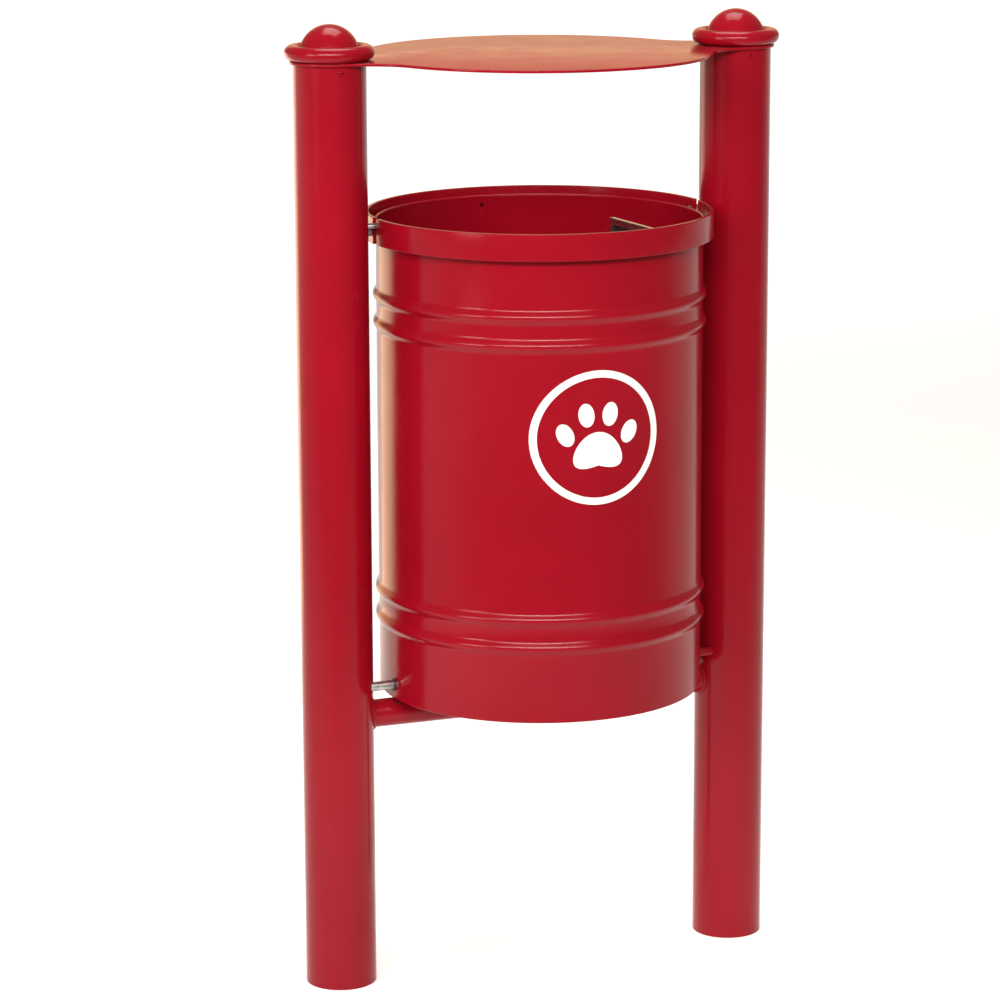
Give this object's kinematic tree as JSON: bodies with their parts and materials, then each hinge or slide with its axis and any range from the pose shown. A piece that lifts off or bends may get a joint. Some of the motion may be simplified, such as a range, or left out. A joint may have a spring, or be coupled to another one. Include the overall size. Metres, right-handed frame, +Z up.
{
  "type": "dog waste bin",
  "caption": "Tilting round litter and dog waste bin hung between two capped posts under a flat roof plate, with a split collar and a key lock.",
  "frame": {"origin": "on the ground, midway between the feet of the two posts", "axes": "+Z up, +X along the line of the posts from the lock side to the other, -Y towards the front, where the decal is and where the drum tilts out"},
  "size_m": [0.5512, 0.37, 1.0335],
  "materials": {
    "red_powder_coat": "semi-gloss red powder coat on steel",
    "galvanised_steel": "dull zinc plated steel",
    "black_sheet": "satin black coated sheet steel",
    "white_vinyl": "cut white vinyl film",
    "black_rubber": "moulded black rubber",
    "black_nylon": "moulded black nylon"
  },
  "bodies": {
    "frame": {"left_post": "red_powder_coat", "right_post": "red_powder_coat", "left_cap": "red_powder_coat", "right_cap": "red_powder_coat", "left_cap_screw": "red_powder_coat", "right_cap_screw": "red_powder_coat", "roof_plate": "red_powder_coat", "crossbar": "red_powder_coat", "rear_hoop": "red_powder_coat", "left_hoop_bolt": "galvanised_steel", "right_hoop_bolt": "galvanised_steel", "left_hoop_spacer": "galvanised_steel", "right_hoop_spacer": "galvanised_steel", "rubber_stop_1": "black_rubber", "rubber_stop_2": "black_rubber", "lock_keeper_pin": "galvanised_steel", "left_pivot_pin": "galvanised_steel", "right_pivot_pin": "red_powder_coat", "left_pivot_nut": "galvanised_steel", "right_pivot_nut": "galvanised_steel", "left_pivot_washer": "black_nylon", "right_pivot_washer": "black_nylon"},
    "drum": {"drum_shell": "red_powder_coat", "drum_floor": "red_powder_coat", "front_hoop": "red_powder_coat", "hoop_block_1": "red_powder_coat", "hoop_block_2": "red_powder_coat", "hoop_block_3": "red_powder_coat", "left_pivot_plate": "red_powder_coat", "right_pivot_plate": "red_powder_coat", "bag_hook_plate": "black_sheet", "bag_hook_edging": "galvanised_steel", "bag_hook_rivet_1": "galvanised_steel", "bag_hook_rivet_2": "galvanised_steel", "lock_housing": "galvanised_steel", "decal_ring": "white_vinyl", "decal_paw_pad": "white_vinyl", "decal_toe_1": "white_vinyl", "decal_toe_2": "white_vinyl", "decal_toe_3": "white_vinyl", "decal_toe_4": "white_vinyl"},
    "lock": {"lock_plug": "galvanised_steel", "lock_cam": "galvanised_steel"}
  },
  "joints": [
    {"name": "drum_tilt", "type": "hinge", "parent": "frame", "child": "drum", "pos_m": [0.003, -0.018, 0.33], "axis": [1, 0, 0], "range_deg": [0, 60]},
    {"name": "lock_turn", "type": "hinge", "parent": "drum", "child": "lock", "pos_m": [-0.167, -0.008, 0.811], "axis": [1, 0, 0], "range_deg": [0, 50]}
  ]
}
